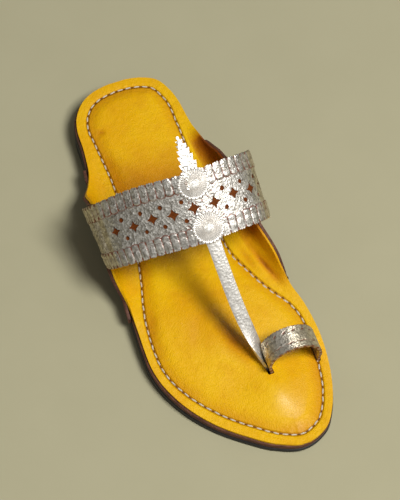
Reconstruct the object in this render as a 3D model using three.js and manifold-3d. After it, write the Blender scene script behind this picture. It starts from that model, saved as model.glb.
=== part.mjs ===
// Kolhapuri sandal, right foot: padded leather footbed with two wings, leather ears, instep band with
// centre strap, leaf tail and toe ring, leather midsole, rubber outsole and heel lift.
// Millimetres. +Z up, +Y towards the toe, +X towards the outer (little toe) side.
import * as THREE from 'three';
import { mergeVertices } from 'three/addons/utils/BufferGeometryUtils.js';
import Module from 'manifold-3d';

// ---------- driving dimensions ----------
const clearance = 0.3;           // free gap between neighbouring pieces
const coverThickness = 1.3;      // footbed leather outside the padding
const padding = 2.4;             // extra height of the padded footbed inside the stitch line
const paddingSlope = 9;          // distance over which the padding rises from the stitch line
const midsoleThickness = 3.4;
const earThickness = 1.6;
const bandThickness = 1.6;
const strapThickness = 1.6;
const flange = 6;                // flat leather beyond the point where a wing starts to bend
const flangeMost = 0.3;          // share of the footbed's width that a flange takes at most
const midsoleEdge = { inner: 0.2, outer: 1.4 };    // how far each sole layer stands out past the footbed
const outsoleEdge = { inner: 0.8, outer: 2.4 };
const endGap = 0.25;             // the end faces stop this far short of the outline's very tip
const earGap = 0.42;             // between a wing's outside face and its ear
const earStandOff = 0.35;        // between the midsole's edge and an ear's foot
const earDrop = 0.6;             // an ear ends this far below the wing's edge
const slotCut = 30;              // height of the cutter that opens a strap slot
const outlineSteps = 600;
const soleSteps = 50;
const heelSteps = 16;
const endCrowding = 0.55;        // how much closer together the sections are at heel and toe
const coverSteps = { heel: 12, toe: 16 };
const closestSections = 0.2;
const strapSteps = { centre: 36, leaf: 12, ring: 36 };
const heelLiftEnd = -54;         // front face of the heel lift
const heelTip = { across: 3.5, along: -129.2 };
const toeTip = { across: -17.0, along: 127.4 };

// footbed outline, heel to toe: inner and outer edge, and how far inside it the stitch line runs
const outlineRows = [
  { along: -127, inner: -10.8, outer: 18.8, innerInset: 6.6, outerInset: 6.6 },
  { along: -122, inner: -19.6, outer: 27.6, innerInset: 6.6, outerInset: 6.6 },
  { along: -113, inner: -24.3, outer: 34.2, innerInset: 6.5, outerInset: 6.4 },
  { along: -104, inner: -26.5, outer: 36.8, innerInset: 6.4, outerInset: 6.4 },
  { along: -92, inner: -27.5, outer: 37.5, innerInset: 7.2, outerInset: 7.4 },
  { along: -78, inner: -28.8, outer: 39.1, innerInset: 8.6, outerInset: 9.6 },
  { along: -64, inner: -29.5, outer: 40.6, innerInset: 9.6, outerInset: 11.4 },
  { along: -48, inner: -31.2, outer: 41.4, innerInset: 12.0, outerInset: 11.8 },
  { along: -20, inner: -32.5, outer: 43.0, innerInset: 14.6, outerInset: 11.8 },
  { along: 0, inner: -35.0, outer: 44.6, innerInset: 16.2, outerInset: 9.8 },
  { along: 16, inner: -38.5, outer: 46.3, innerInset: 13.6, outerInset: 7.2 },
  { along: 30, inner: -43.0, outer: 47.2, innerInset: 11.4, outerInset: 5.4 },
  { along: 44, inner: -47.0, outer: 48.0, innerInset: 7.4, outerInset: 5.0 },
  { along: 56, inner: -48.6, outer: 47.8, innerInset: 5.8, outerInset: 5.0 },
  { along: 68, inner: -49.0, outer: 45.2, innerInset: 6.0, outerInset: 5.2 },
  { along: 84, inner: -47.4, outer: 37.8, innerInset: 6.0, outerInset: 6.0 },
  { along: 100, inner: -43.6, outer: 25.6, innerInset: 5.6, outerInset: 6.6 },
  { along: 113, inner: -38.0, outer: 11.0, innerInset: 5.6, outerInset: 6.6 },
  { along: 122, inner: -31.0, outer: -1.6, innerInset: 6.2, outerInset: 6.2 },
];

// heights along the shoe: top of the footbed's flange, and underside of the outsole
const heightRows = [
  { along: -127, flangeTop: 16.6, soleBottom: 6.8 },
  { along: -90, flangeTop: 16.6, soleBottom: 6.8 },
  { along: -56, flangeTop: 15.9, soleBottom: 6.6 },
  { along: -20, flangeTop: 14.6, soleBottom: 4.0 },
  { along: 20, flangeTop: 13.0, soleBottom: 0.9 },
  { along: 44, flangeTop: 12.0, soleBottom: 0 },
  { along: 70, flangeTop: 10.4, soleBottom: 0 },
  { along: 110, flangeTop: 8.8, soleBottom: 0 },
  { along: 129, flangeTop: 9.2, soleBottom: 1.4 },
];

// wings: length of leather past the bend line, and the angle of its first, tight bend
const wingRows = [
  { along: -90, innerReach: 6, innerBend: 0, outerReach: 6, outerBend: 0 },
  { along: -85, innerReach: 6, innerBend: 4, outerReach: 6, outerBend: 0 },
  { along: -78, innerReach: 6.8, innerBend: 30, outerReach: 6.2, outerBend: 8 },
  { along: -71, innerReach: 8.0, innerBend: 62, outerReach: 7.4, outerBend: 28 },
  { along: -64, innerReach: 11.4, innerBend: 80, outerReach: 10.2, outerBend: 38 },
  { along: -56, innerReach: 16.4, innerBend: 80, outerReach: 16.4, outerBend: 50 },
  { along: -48, innerReach: 20, innerBend: 80, outerReach: 21.5, outerBend: 65 },
  { along: -42, innerReach: 26.5, innerBend: 80, outerReach: 28, outerBend: 65 },
  { along: -36, innerReach: 35, innerBend: 80, outerReach: 36, outerBend: 65 },
  { along: -28, innerReach: 38, innerBend: 80, outerReach: 39, outerBend: 65 },
  { along: -18, innerReach: 38, innerBend: 80, outerReach: 37, outerBend: 65 },
  { along: -10, innerReach: 32, innerBend: 80, outerReach: 30, outerBend: 65 },
  { along: -3, innerReach: 18.6, innerBend: 80, outerReach: 17, outerBend: 65 },
  { along: 2, innerReach: 17.4, innerBend: 78, outerReach: 13, outerBend: 60 },
  { along: 9, innerReach: 16, innerBend: 74, outerReach: 9.2, outerBend: 50 },
  { along: 16, innerReach: 13.7, innerBend: 70, outerReach: 7.2, outerBend: 33 },
  { along: 23, innerReach: 9.6, innerBend: 58, outerReach: 6.5, outerBend: 12 },
  { along: 30, innerReach: 7, innerBend: 26, outerReach: 6.2, outerBend: 3 },
  { along: 38, innerReach: 6, innerBend: 3, outerReach: 6, outerBend: 0 },
  { along: 44, innerReach: 6, innerBend: 0, outerReach: 6, outerBend: 0 },
];
const wingStart = wingRows[0].along;
const wingEnd = wingRows[wingRows.length - 1].along;
const bendRadius = { inner: 7, outer: 10 };        // tight bend at the sole's edge
const leanRadius = { inner: 80, outer: 28 };       // slow curve of the upright part
const fullBend = { inner: 80, outer: 65 };
const earEnds = { inner: [-71, 30], outer: [-78, 23] };

// instep band, outer end to inner end: outer surface at mid width, upward slope of its width to the rear,
// width, and how far its rear edge stands further out than its front edge
const bandRows = [
  { across: 54.5, along: -18.0, up: 41.0, tilt: 20, width: 36.6, spread: 2.7 },
  { across: 52.4, along: -13.2, up: 49.0, tilt: 23, width: 37.4, spread: 2.0 },
  { across: 45.2, along: -8.6, up: 58.0, tilt: 27, width: 38.6, spread: 1.0 },
  { across: 36.2, along: -5.4, up: 64.6, tilt: 30, width: 39.6, spread: 0 },
  { across: 25.6, along: -1.8, up: 71.0, tilt: 33, width: 40.0, spread: 0 },
  { across: 14.2, along: 1.6, up: 76.0, tilt: 36, width: 40.0, spread: 0 },
  { across: 2.8, along: 3.6, up: 78.8, tilt: 38, width: 40.0, spread: 0 },
  { across: -9.0, along: 3.2, up: 79.0, tilt: 38, width: 40.0, spread: 0 },
  { across: -21.0, along: 1.4, up: 77.4, tilt: 36, width: 40.0, spread: 0 },
  { across: -32.0, along: -1.4, up: 73.0, tilt: 33, width: 39.6, spread: 0 },
  { across: -38.8, along: -6.0, up: 65.6, tilt: 30, width: 39.2, spread: 0 },
  { across: -41.2, along: -11.2, up: 56.0, tilt: 29, width: 38.8, spread: 0 },
  { across: -40.6, along: -16.2, up: 44.4, tilt: 30, width: 38.4, spread: 0 },
];

// centre strap, from under the band's front rosette down to the toe slot
const centreRows = [
  { across: -2.2, along: 8.0, up: 75.8, width: 9.0, turn: 0 },
  { across: -2.2, along: 14.6, up: 70.6, width: 8.4, turn: 0 },
  { across: -2.2, along: 20.5, up: 65.6, width: 8.0, turn: 0 },
  { across: -3.2, along: 31.0, up: 56.4, width: 7.8, turn: 0 },
  { across: -4.6, along: 43.0, up: 45.4, width: 7.8, turn: 0 },
  { across: -6.3, along: 53.5, up: 35.6, width: 7.8, turn: 4 },
  { across: -8.4, along: 62.0, up: 27.4, width: 7.6, turn: 24 },
  { across: -10.5, along: 69.5, up: 20.6, width: 7.2, turn: 58 },
  { across: -12.2, along: 74.6, up: 14.8, width: 7.0, turn: 82 },
  { across: -12.8, along: 76.4, up: 10.0, width: 7.0, turn: 90 },
];

// leaf tail, from under the band's rear rosette to its tip
const leafRows = [
  { across: -0.7, along: -4.6, up: 86.4, width: 10.4, turn: 0 },
  { across: -0.5, along: -12.5, up: 92.4, width: 11.2, turn: 0 },
  { across: -0.2, along: -20.0, up: 97.0, width: 8.2, turn: 0 },
  { across: 0.2, along: -25.6, up: 99.8, width: 4.8, turn: 0 },
  { across: 0.8, along: -30.0, up: 101.6, width: 1.6, turn: 0 },
];

// toe ring, from its outer foot over the toe to its inner foot
const ringRows = [
  { across: -14.2, along: 76.2, up: 10.2, width: 12.5, turn: 90 },
  { across: -13.8, along: 76.2, up: 15.0, width: 13.0, turn: 90 },
  { across: -12.8, along: 76.0, up: 21.0, width: 13.8, turn: 90 },
  { across: -14.6, along: 75.8, up: 27.6, width: 14.0, turn: 90 },
  { across: -20.6, along: 75.8, up: 33.0, width: 14.0, turn: 90 },
  { across: -28.5, along: 76.0, up: 34.8, width: 14.0, turn: 90 },
  { across: -36.2, along: 76.2, up: 32.2, width: 14.0, turn: 90 },
  { across: -41.2, along: 76.4, up: 26.0, width: 14.0, turn: 90 },
  { across: -42.8, along: 76.6, up: 19.6, width: 13.4, turn: 90 },
  { across: -42.4, along: 76.8, up: 14.6, width: 12.6, turn: 90 },
  { across: -42.0, along: 76.8, up: 10.0, width: 12.0, turn: 90 },
];
const slots = [
  { across: -13.5, along: 76.4, width: 4.6, length: 14.0 },
  { across: -42.2, along: 76.8, width: 3.2, length: 14.0 },
];

const finishes = {
  rubber: { color: 0x1e1e22, roughness: 0.7, metalness: 0 },
  brownLeather: { color: 0x7a4a38, roughness: 0.7, metalness: 0 },
  yellowLeather: { color: 0xebbb25, roughness: 0.45, metalness: 0 },
  silverFoil: { color: 0xc9c6c0, roughness: 0.35, metalness: 0.85 },
};

const wasm = await Module();
wasm.setup();

// ---------- reading the tables ----------
// Value of one column at a place along the shoe, smooth and without overshoot between rows.
function columnAt(rows, column, along) {
  const last = rows.length - 1;
  if (along <= rows[0].along) return rows[0][column];
  if (along >= rows[last].along) return rows[last][column];
  let k = 0;
  while (rows[k + 1].along < along) k++;
  const step = (i) => (rows[i + 1][column] - rows[i][column]) / (rows[i + 1].along - rows[i].along);
  const slope = (i) => {
    if (i <= 0 || i >= last) return step(Math.min(i, last - 1));
    const before = step(i - 1), after = step(i);
    return before * after <= 0 ? 0 : (2 * before * after) / (before + after);
  };
  const span = rows[k + 1].along - rows[k].along;
  const t = (along - rows[k].along) / span;
  const t2 = t * t, t3 = t2 * t;
  return (2 * t3 - 3 * t2 + 1) * rows[k][column] + (t3 - 2 * t2 + t) * span * slope(k)
    + (3 * t2 - 2 * t3) * rows[k + 1][column] + (t3 - t2) * span * slope(k + 1);
}

// All columns at a share 0..1 of the way through the rows, as a Catmull-Rom curve through them.
function rowAt(rows, share) {
  const last = rows.length - 1;
  const place = Math.min(Math.max(share, 0), 1) * last;
  const k = Math.min(Math.floor(place), last - 1);
  const t = place - k;
  const result = {};
  for (const column of Object.keys(rows[0])) {
    const value = (i) => {
      if (i < 0) return 2 * rows[0][column] - rows[1][column];
      if (i > last) return 2 * rows[last][column] - rows[last - 1][column];
      return rows[i][column];
    };
    const [a, b, c, d] = [value(k - 1), value(k), value(k + 1), value(k + 2)];
    result[column] = 0.5 * (2 * b + (c - a) * t + (2 * a - 5 * b + 4 * c - d) * t * t
      + (3 * b - a - 3 * c + d) * t * t * t);
  }
  return result;
}

// ---------- outline ----------
// Closed plan outline, grown outwards by a margin that may differ on the outer side.
function outlinePoints(margin, outerMargin) {
  const inner = outlineRows.map((row) => new THREE.Vector3(row.inner, row.along, 0));
  const outer = outlineRows.map((row) => new THREE.Vector3(row.outer, row.along, 0)).reverse();
  const heel = new THREE.Vector3(heelTip.across, heelTip.along, 0);
  const toe = new THREE.Vector3(toeTip.across, toeTip.along, 0);
  const curve = new THREE.CatmullRomCurve3([heel, ...inner, toe, ...outer], true, 'centripetal');
  const up = new THREE.Vector3(0, 0, 1);
  return Array.from({ length: outlineSteps }, (_, i) => {
    const point = curve.getPoint(i / outlineSteps);
    const outward = curve.getTangent(i / outlineSteps).cross(up).negate();
    return point.addScaledVector(outward, margin + (outerMargin - margin) * Math.max(0, outward.x));
  });
}

// Inner and outer edge of an outline at a place along the shoe.
function outlineSides(points) {
  const lowest = points.reduce((a, b) => (b.y < a.y ? b : a));
  const highest = points.reduce((a, b) => (b.y > a.y ? b : a));
  const from = points.indexOf(lowest), to = points.indexOf(highest);
  const turned = (i) => points[(i + points.length) % points.length];
  const innerChain = [], outerChain = [];
  for (let i = from; i <= (to < from ? to + points.length : to); i++) innerChain.push(turned(i));
  for (let i = from; i >= (to > from ? to - points.length : to); i--) outerChain.push(turned(i));
  const crossing = (chain, along) => {
    for (let i = 1; i < chain.length; i++) {
      if (chain[i].y >= along) {
        const t = (along - chain[i - 1].y) / Math.max(chain[i].y - chain[i - 1].y, 1e-6);
        return THREE.MathUtils.lerp(chain[i - 1].x, chain[i].x, THREE.MathUtils.clamp(t, 0, 1));
      }
    }
    return chain[chain.length - 1].x;
  };
  return {
    start: lowest.y,
    end: highest.y,
    inner: (along) => crossing(innerChain, along),
    outer: (along) => crossing(outerChain, along),
  };
}

const coverOutline = outlinePoints(0, 0);
const coverSides = outlineSides(coverOutline);
const midsoleSides = outlineSides(outlinePoints(midsoleEdge.inner, midsoleEdge.outer));
const outsoleSides = outlineSides(outlinePoints(outsoleEdge.inner, outsoleEdge.outer));

// Stations from one end to the other, closer together at the rounded ends.
function stations(start, end, count) {
  return Array.from({ length: count + 1 }, (_, i) => {
    const share = 0.5 - 0.5 * Math.cos((Math.PI * i) / count);
    const even = i / count;
    return start + endGap + (end - start - 2 * endGap) * (endCrowding * share + (1 - endCrowding) * even);
  });
}

// ---------- solids from grids ----------
// A closed slab between two grids of points, top[i][j] above bottom[i][j].
function slab(top, bottom) {
  const rows = top.length, columns = top[0].length;
  const positions = [...top.flat(), ...bottom.flat()].flatMap((p) => [p.x, p.y, p.z]);
  const at = (i, j, below) => (below ? rows * columns : 0) + i * columns + j;
  const faces = [];
  const quad = (a, b, c, d) => faces.push(a, b, c, a, c, d);
  for (let i = 0; i < rows - 1; i++) {
    for (let j = 0; j < columns - 1; j++) {
      quad(at(i, j), at(i, j + 1), at(i + 1, j + 1), at(i + 1, j));
      quad(at(i, j, true), at(i + 1, j, true), at(i + 1, j + 1, true), at(i, j + 1, true));
    }
    quad(at(i, 0), at(i + 1, 0), at(i + 1, 0, true), at(i, 0, true));
    const last = columns - 1;
    quad(at(i, last, true), at(i + 1, last, true), at(i + 1, last), at(i, last));
  }
  for (let j = 0; j < columns - 1; j++) {
    const last = rows - 1;
    quad(at(0, j, true), at(0, j + 1, true), at(0, j + 1), at(0, j));
    quad(at(last, j), at(last, j + 1), at(last, j + 1, true), at(last, j, true));
  }
  const geometry = new THREE.BufferGeometry();
  geometry.setAttribute('position', new THREE.Float32BufferAttribute(positions, 3));
  geometry.setIndex(faces);
  return facingOut(geometry);
}

function volumeOf(geometry) {
  const p = geometry.attributes.position, index = geometry.index.array;
  const [a, b, c] = [new THREE.Vector3(), new THREE.Vector3(), new THREE.Vector3()];
  let sum = 0;
  for (let i = 0; i < index.length; i += 3) {
    a.fromBufferAttribute(p, index[i]);
    b.fromBufferAttribute(p, index[i + 1]);
    c.fromBufferAttribute(p, index[i + 2]);
    sum += a.dot(b.cross(c)) / 6;
  }
  return sum;
}

function facingOut(geometry) {
  if (volumeOf(geometry) >= 0) return geometry;
  const index = geometry.index.array;
  for (let i = 0; i < index.length; i += 3) [index[i + 1], index[i + 2]] = [index[i + 2], index[i + 1]];
  return geometry;
}

function toManifold(geometry) {
  const bare = geometry.clone();
  bare.deleteAttribute('normal');
  bare.deleteAttribute('uv');
  const merged = mergeVertices(bare, 1e-4);
  const mesh = new wasm.Mesh({
    numProp: 3,
    vertProperties: new Float32Array(merged.attributes.position.array),
    triVerts: new Uint32Array(merged.index.array),
  });
  return new wasm.Manifold(mesh);
}

function fromManifold(solid) {
  const { vertProperties, triVerts } = solid.getMesh();
  const geometry = new THREE.BufferGeometry();
  geometry.setAttribute('position', new THREE.BufferAttribute(new Float32Array(vertProperties), 3));
  geometry.setIndex(new THREE.BufferAttribute(new Uint32Array(triVerts), 1));
  return geometry;
}

// ---------- sole ----------
const flangeTop = (along) => columnAt(heightRows, 'flangeTop', along);
const midsoleTop = (along) => flangeTop(along) - coverThickness - clearance;
const outsoleTop = (along) => midsoleTop(along) - midsoleThickness - clearance;
const soleBottom = (along) => columnAt(heightRows, 'soleBottom', along);

function plate(sides, places, topAt, bottomAt) {
  const level = (heightAt) => places.map((along) => {
    return [sides.inner(along), sides.outer(along)].map((x) => new THREE.Vector3(x, along, heightAt(along)));
  });
  return slab(level(topAt), level(bottomAt));
}

function makeOutsole() {
  const places = stations(outsoleSides.start, outsoleSides.end, soleSteps);
  return plate(outsoleSides, places, outsoleTop, soleBottom);
}

function makeMidsole() {
  const places = stations(midsoleSides.start, midsoleSides.end, soleSteps);
  return plate(midsoleSides, places, midsoleTop, (along) => midsoleTop(along) - midsoleThickness);
}

function makeHeelLift() {
  const start = outsoleSides.start + endGap;
  const places = Array.from({ length: heelSteps + 1 }, (_, i) => {
    return start + (heelLiftEnd - start) * (1 - Math.cos((Math.PI * i) / (2 * heelSteps)));
  });
  return plate(outsoleSides, places, (along) => soleBottom(along) - clearance, () => 0);
}

// ---------- footbed cover and its wings ----------
// Places across one wing, measured from its bend line: out from the shoe, up, and the leather's angle.
function wingPoint(side, along, length) {
  const radius = bendRadius[side];
  const bend = THREE.MathUtils.degToRad(columnAt(wingRows, `${side}Bend`, along));
  const tight = Math.min(length, radius * bend);
  const angle = tight / radius;
  let out = radius * Math.sin(angle), up = radius * (1 - Math.cos(angle));
  const rest = length - tight;
  const slow = leanRadius[side] / Math.max((bend / THREE.MathUtils.degToRad(fullBend[side])) ** 4, 1e-3);
  const endAngle = angle + rest / slow;
  out += slow * (Math.sin(endAngle) - Math.sin(angle));
  up += slow * (Math.cos(angle) - Math.cos(endAngle));
  return { out, up, angle: endAngle };
}

const sideSign = { inner: -1, outer: 1 };
const bendLine = (side, along) => coverSides[side](along) - sideSign[side] * Math.min(flange, flangeShare(along));
const flangeShare = (along) => flangeMost * (coverSides.outer(along) - coverSides.inner(along));

// A point beside a wing's inside face, a depth of leather away from it.
function wingFace(side, along, length, depth) {
  const { out, up, angle } = wingPoint(side, along, length);
  const across = bendLine(side, along) + sideSign[side] * (out + depth * Math.sin(angle));
  return new THREE.Vector3(across, along, flangeTop(along) + up - depth * Math.cos(angle));
}

const wingReach = (side, along) => {
  const reach = columnAt(wingRows, `${side}Reach`, along);
  return Math.min(reach, reach / flange * flangeShare(along));
};

function distanceInside(x, y) {
  return Math.sqrt(coverOutline.reduce((least, p) => Math.min(least, (p.x - x) ** 2 + (p.y - y) ** 2), 1e9));
}

function paddingAt(across, along, stitchInset) {
  const t = THREE.MathUtils.clamp((distanceInside(across, along) - stitchInset) / paddingSlope, 0, 1);
  return padding * (t * t * (3 - 2 * t));
}

function coverSection(along) {
  const wingSteps = 8, bedSteps = 10;
  const top = [], bottom = [];
  const wing = (side) => Array.from({ length: wingSteps + 1 }, (_, i) => (i / wingSteps) * wingReach(side, along));
  for (const length of wing('inner').reverse()) {
    top.push(wingFace('inner', along, length, 0));
    bottom.push(wingFace('inner', along, length, coverThickness));
  }
  const from = bendLine('inner', along), to = bendLine('outer', along);
  const inset = { inner: columnAt(outlineRows, 'innerInset', along), outer: columnAt(outlineRows, 'outerInset', along) };
  for (let i = 1; i < bedSteps; i++) {
    const share = i / bedSteps;
    const across = THREE.MathUtils.lerp(from, to, share);
    const stitchInset = THREE.MathUtils.lerp(inset.inner, inset.outer, share);
    top.push(new THREE.Vector3(across, along, flangeTop(along) + paddingAt(across, along, stitchInset)));
    bottom.push(new THREE.Vector3(across, along, flangeTop(along) - coverThickness));
  }
  for (const length of wing('outer')) {
    top.push(wingFace('outer', along, length, 0));
    bottom.push(wingFace('outer', along, length, coverThickness));
  }
  return { top, bottom };
}

function makeCover() {
  const places = [
    ...stations(coverSides.start, wingStart, coverSteps.heel),
    ...wingRows.map((row) => row.along),
    ...stations(wingEnd, coverSides.end, coverSteps.toe),
  ].sort((a, b) => a - b).filter((along, i, all) => i === 0 || along - all[i - 1] > closestSections);
  const sections = places.map(coverSection);
  const sheet = slab(sections.map((s) => s.top), sections.map((s) => s.bottom));
  const cutters = slots.map((slot) => {
    const box = new THREE.BoxGeometry(slot.width, slot.length, slotCut);
    box.translate(slot.across, slot.along, flangeTop(slot.along));
    return toManifold(box);
  });
  return fromManifold(cutters.reduce((solid, cutter) => solid.subtract(cutter), toManifold(sheet)));
}

// ---------- ears ----------
// Inside face of an ear: up the sole's side, then along the wing's outside face.
function earPath(side, along) {
  const sign = sideSign[side];
  const depth = coverThickness + earGap;
  const reach = wingReach(side, along);
  const wing = Array.from({ length: 25 }, (_, i) => wingFace(side, along, (i / 24) * reach, depth));
  const foot = sign * Math.max(sign * midsoleSides[side](along), sign * coverSides[side](along)) + sign * earStandOff;
  const bottom = outsoleTop(along) + clearance;
  const top = flangeTop(along) + wingPoint(side, along, reach).up - earDrop;
  const steps = 12;
  return Array.from({ length: steps + 1 }, (_, i) => {
    const up = THREE.MathUtils.lerp(bottom, top, i / steps);
    let across = foot;
    for (let k = 1; k < wing.length; k++) {
      if (wing[k].z >= up && wing[k - 1].z < up) {
        const t = (up - wing[k - 1].z) / (wing[k].z - wing[k - 1].z);
        across = THREE.MathUtils.lerp(wing[k - 1].x, wing[k].x, t);
      }
    }
    if (up > wing[wing.length - 1].z) across = wing[wing.length - 1].x + sign * clearance;
    return new THREE.Vector3(sign * Math.max(sign * across, sign * foot), along, up);
  });
}

function makeEar(side) {
  const [rear, front] = earEnds[side];
  const places = wingRows.map((row) => row.along).filter((along) => along >= rear && along <= front);
  const inside = places.map((along) => earPath(side, along));
  const outside = inside.map((path) => path.map((point, i) => {
    const before = path[Math.max(i - 1, 0)], after = path[Math.min(i + 1, path.length - 1)];
    const run = new THREE.Vector3().subVectors(after, before).normalize();
    const away = new THREE.Vector3(run.z, 0, -run.x).multiplyScalar(sideSign[side]);
    return point.clone().addScaledVector(away, earThickness);
  }));
  return slab(outside, inside);
}

// ---------- upper ----------
// A point on the band's outer face: share 0 outer end .. 1 inner end, place -0.5 front edge .. 0.5 rear edge.
function bandPoint(share, place) {
  const row = rowAt(bandRows, share);
  const tilt = THREE.MathUtils.degToRad(row.tilt);
  const offset = row.width * place;
  const across = row.across + row.spread * place;
  return new THREE.Vector3(across, row.along - offset * Math.cos(tilt), row.up + offset * Math.sin(tilt));
}

function makeBand() {
  const steps = 40, widthSteps = 4;
  const grid = (depth) => Array.from({ length: steps + 1 }, (_, i) => {
    return Array.from({ length: widthSteps + 1 }, (_, j) => {
      const share = i / steps, place = j / widthSteps - 0.5, small = 0.01;
      const here = bandPoint(share, place);
      const run = new THREE.Vector3().subVectors(bandPoint(share + small, place), bandPoint(share - small, place));
      const width = new THREE.Vector3().subVectors(bandPoint(share, place + small), bandPoint(share, place - small));
      const inward = run.cross(width).normalize();
      return here.addScaledVector(inward, -depth);
    });
  });
  const outside = grid(0), inside = grid(bandThickness);
  return slab(outside, inside);
}

// A strap that follows its rows; turn is the direction of its width, 0 across the shoe and 90 along it.
function makeStrap(rows, steps) {
  const top = [], bottom = [];
  for (let i = 0; i <= steps; i++) {
    const share = i / steps, small = 0.005;
    const at = (s) => {
      const row = rowAt(rows, s);
      return new THREE.Vector3(row.across, row.along, row.up);
    };
    const row = rowAt(rows, share);
    const run = at(Math.min(share + small, 1)).sub(at(Math.max(share - small, 0))).normalize();
    const turn = THREE.MathUtils.degToRad(row.turn);
    const width = new THREE.Vector3(Math.cos(turn), Math.sin(turn), 0);
    width.addScaledVector(run, -width.dot(run)).normalize();
    const face = new THREE.Vector3().crossVectors(run, width).normalize();
    const edge = (sign, depth) => {
      return at(share).addScaledVector(width, (sign * row.width) / 2).addScaledVector(face, depth);
    };
    top.push([edge(-1, strapThickness / 2), edge(1, strapThickness / 2)]);
    bottom.push([edge(-1, -strapThickness / 2), edge(1, -strapThickness / 2)]);
  }
  return slab(top, bottom);
}

function makeUpper() {
  const straps = [
    makeStrap(centreRows, strapSteps.centre),
    makeStrap(leafRows, strapSteps.leaf),
    makeStrap(ringRows, strapSteps.ring),
  ];
  return fromManifold(straps.reduce((solid, strap) => solid.add(toManifold(strap)), toManifold(makeBand())));
}

// ---------- assembly ----------
function piece(name, geometry, finish) {
  const mesh = new THREE.Mesh(geometry, new THREE.MeshStandardMaterial(finishes[finish]));
  mesh.name = name;
  return mesh;
}

const sandal = new THREE.Group();
sandal.add(
  piece('outsole', makeOutsole(), 'rubber'),
  piece('heel_lift', makeHeelLift(), 'rubber'),
  piece('midsole', makeMidsole(), 'brownLeather'),
  piece('footbed_cover', makeCover(), 'yellowLeather'),
  piece('ear_medial', makeEar('inner'), 'brownLeather'),
  piece('ear_lateral', makeEar('outer'), 'brownLeather'),
  piece('upper', makeUpper(), 'silverFoil'),
);

// the origin is the middle of the box's floor
const box = new THREE.Box3().setFromObject(sandal);
const middle = box.getCenter(new THREE.Vector3());
sandal.position.set(-middle.x, -middle.y, -box.min.z);

export default sandal;
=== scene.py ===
import math

import bpy
import numpy as np
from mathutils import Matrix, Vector


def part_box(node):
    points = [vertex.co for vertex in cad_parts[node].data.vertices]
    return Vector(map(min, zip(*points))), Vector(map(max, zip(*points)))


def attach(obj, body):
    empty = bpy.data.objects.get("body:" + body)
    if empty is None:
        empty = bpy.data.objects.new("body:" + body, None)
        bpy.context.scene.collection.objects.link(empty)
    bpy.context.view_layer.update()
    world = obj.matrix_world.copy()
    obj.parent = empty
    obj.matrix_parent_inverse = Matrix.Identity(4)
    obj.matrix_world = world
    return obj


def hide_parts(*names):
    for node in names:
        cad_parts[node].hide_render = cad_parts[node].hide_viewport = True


# Kolhapuri sandal, right foot. Tables are in millimetres: x to the little toe side, y to the toe, z up.

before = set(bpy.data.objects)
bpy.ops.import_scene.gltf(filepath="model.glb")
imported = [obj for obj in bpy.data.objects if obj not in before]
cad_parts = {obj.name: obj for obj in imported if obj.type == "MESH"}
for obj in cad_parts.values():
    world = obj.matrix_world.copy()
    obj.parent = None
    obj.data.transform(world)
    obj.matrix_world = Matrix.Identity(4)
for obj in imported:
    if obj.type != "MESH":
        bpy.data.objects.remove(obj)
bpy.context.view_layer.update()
chance = np.random.default_rng(11)
mm = 0.001
mergeGap = 0.002 * mm
side = {"inner": -1, "outer": 1}


def selectNone():
    bpy.ops.object.select_all(action="DESELECT")


def columnAt(rows, key, along):
    # smooth between rows and without overshoot, so an edge never bulges
    x, y = np.asarray(rows["along"], float), np.asarray(rows[key], float)
    gap = np.diff(x)
    rise = np.diff(y) / gap
    slope = np.concatenate([rise[:1], np.zeros(len(x) - 2), rise[-1:]])
    same = rise[:-1] * rise[1:] > 0
    slope[1:-1][same] = 2 * rise[:-1][same] * rise[1:][same] / (rise[:-1] + rise[1:])[same]
    at = np.clip(along, x[0], x[-1])
    k = np.clip(np.searchsorted(x, at) - 1, 0, len(x) - 2)
    t = (at - x[k]) / gap[k]
    return ((2 * t**3 - 3 * t**2 + 1) * y[k] + (t**3 - 2 * t**2 + t) * gap[k] * slope[k]
            + (3 * t**2 - 2 * t**3) * y[k + 1] + (t**3 - t**2) * gap[k] * slope[k + 1])


def throughRows(values, share):
    # a smooth curve through evenly spaced rows, share 0 to 1
    v = np.asarray(values, float)
    v = np.concatenate([[2 * v[0] - v[1]], v, [2 * v[-1] - v[-2]]])
    last = len(values) - 1
    place = np.clip(share, 0, 1) * last
    k = np.minimum(place.astype(int), last - 1)
    t = place - k
    a, b, c, d = v[k], v[k + 1], v[k + 2], v[k + 3]
    return 0.5 * (2 * b + (c - a) * t + (2 * a - 5 * b + 4 * c - d) * t**2 + (3 * b - a - 3 * c + d) * t**3)


def easeIn(value, start, end):
    t = np.clip((value - start) / (end - start), 0, 1)
    return t * t * (3 - 2 * t)


def unit(v):
    return v / np.maximum(np.linalg.norm(v, axis=-1, keepdims=True), 1e-9)


def useOnly(obj):
    selectNone()
    obj.select_set(True)
    bpy.context.view_layer.objects.active = obj


def applyModifier(obj, kind, **settings):
    useOnly(obj)
    modifier = obj.modifiers.new(kind.lower(), kind)
    for key, value in settings.items():
        setattr(modifier, key, value)
    bpy.ops.object.modifier_apply(modifier=modifier.name)


def roundEdges(obj, width, segments, angle):
    applyModifier(obj, "BEVEL", width=width * mm, segments=segments, limit_method="ANGLE",
                  angle_limit=math.radians(angle))


def thicken(obj, thickness):
    # leather behind a face, its back and cut edge in the piece's second finish
    applyModifier(obj, "SOLIDIFY", thickness=thickness * mm, offset=-1, material_offset=1,
                  material_offset_rim=1)


def getPlaces(obj):
    places = np.empty(len(obj.data.vertices) * 3)
    obj.data.vertices.foreach_get("co", places)
    return places.reshape(-1, 3)


def setPlaces(obj, points):
    # points in millimetres in the sandal's own tables, put where the frame puts its sole
    obj.data.vertices.foreach_set("co", ((np.asarray(points, float) + frameShift) * mm).ravel())
    obj.data.update()


def setAttributes(obj, **attributes):
    for name, values in attributes.items():
        layer = obj.data.attributes.new(name, "FLOAT", "POINT")
        layer.data.foreach_set("value", np.asarray(values, np.float32))


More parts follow.
